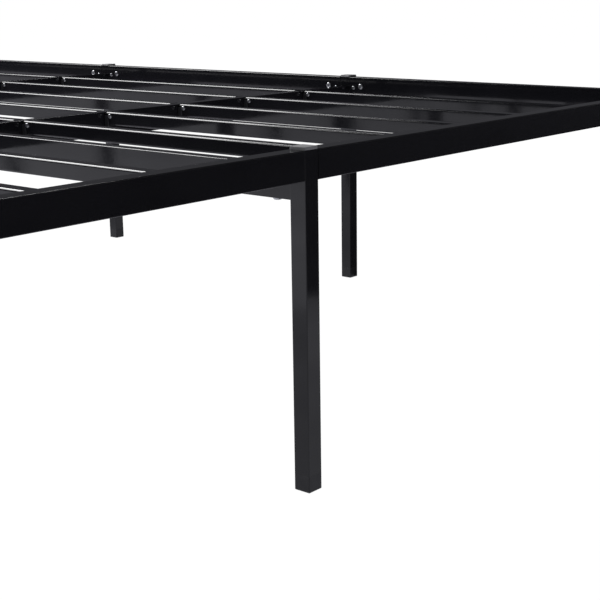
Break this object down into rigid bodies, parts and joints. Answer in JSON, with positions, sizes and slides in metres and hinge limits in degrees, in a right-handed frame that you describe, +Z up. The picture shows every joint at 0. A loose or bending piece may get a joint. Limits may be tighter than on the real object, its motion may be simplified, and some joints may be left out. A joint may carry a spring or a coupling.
{
  "type": "metal bed frame",
  "caption": "Rectangular platform bed frame of black square steel tube with capped posts, recessed slats and a centre beam.",
  "frame": {"origin": "on the floor under the middle of the bed", "axes": "+Z up, +Y from the foot rail to the head rail, +X to the right of someone looking from the foot to the head"},
  "size_m": [1.8, 2, 0.3924],
  "materials": {
    "black_paint": "gloss black powder coat",
    "black_cap_plastic": "satin moulded black plastic",
    "black_foot_plastic": "moulded black plastic",
    "plated_steel": "bright zinc plating"
  },
  "bodies": {
    "root": {"beam_tongues": "black_paint", "centre_beam_front": "black_paint", "centre_beam_middle": "black_paint", "centre_beam_rear": "black_paint", "cross_rail_front_left": "black_paint", "cross_rail_front_right": "black_paint", "cross_rail_rear_left": "black_paint", "cross_rail_rear_right": "black_paint", "foot_foot_left": "black_foot_plastic", "foot_foot_middle": "black_foot_plastic", "foot_foot_right": "black_foot_plastic", "foot_front_left": "black_foot_plastic", "foot_front_middle": "black_foot_plastic", "foot_front_right": "black_foot_plastic", "foot_head_left": "black_foot_plastic", "foot_head_middle": "black_foot_plastic", "foot_head_right": "black_foot_plastic", "foot_rear_left": "black_foot_plastic", "foot_rear_middle": "black_foot_plastic", "foot_rear_right": "black_foot_plastic", "frame_bolts": "plated_steel", "frame_nuts": "plated_steel", "post_caps": "black_cap_plastic", "post_foot_left": "black_paint", "post_foot_middle": "black_paint", "post_foot_right": "black_paint", "post_front_left": "black_paint", "post_front_middle": "black_paint", "post_front_right": "black_paint", "post_head_left": "black_paint", "post_head_middle": "black_paint", "post_head_right": "black_paint", "post_rear_left": "black_paint", "post_rear_middle": "black_paint", "post_rear_right": "black_paint", "rail_foot_left": "black_paint", "rail_foot_right": "black_paint", "rail_head_left": "black_paint", "rail_head_right": "black_paint", "rail_left_front": "black_paint", "rail_left_middle": "black_paint", "rail_left_rear": "black_paint", "rail_right_front": "black_paint", "rail_right_middle": "black_paint", "rail_right_rear": "black_paint", "rail_screws": "plated_steel", "rail_tongues": "black_paint", "slat_brackets": "black_foot_plastic", "slat_row_01": "black_paint", "slat_row_02": "black_paint", "slat_row_03": "black_paint", "slat_row_04": "black_paint", "slat_row_05": "black_paint", "slat_row_06": "black_paint", "slat_row_07": "black_paint", "slat_row_08": "black_paint", "slat_row_09": "black_paint", "slat_row_10": "black_paint", "slat_screws": "plated_steel"}
  },
  "joints": []
}
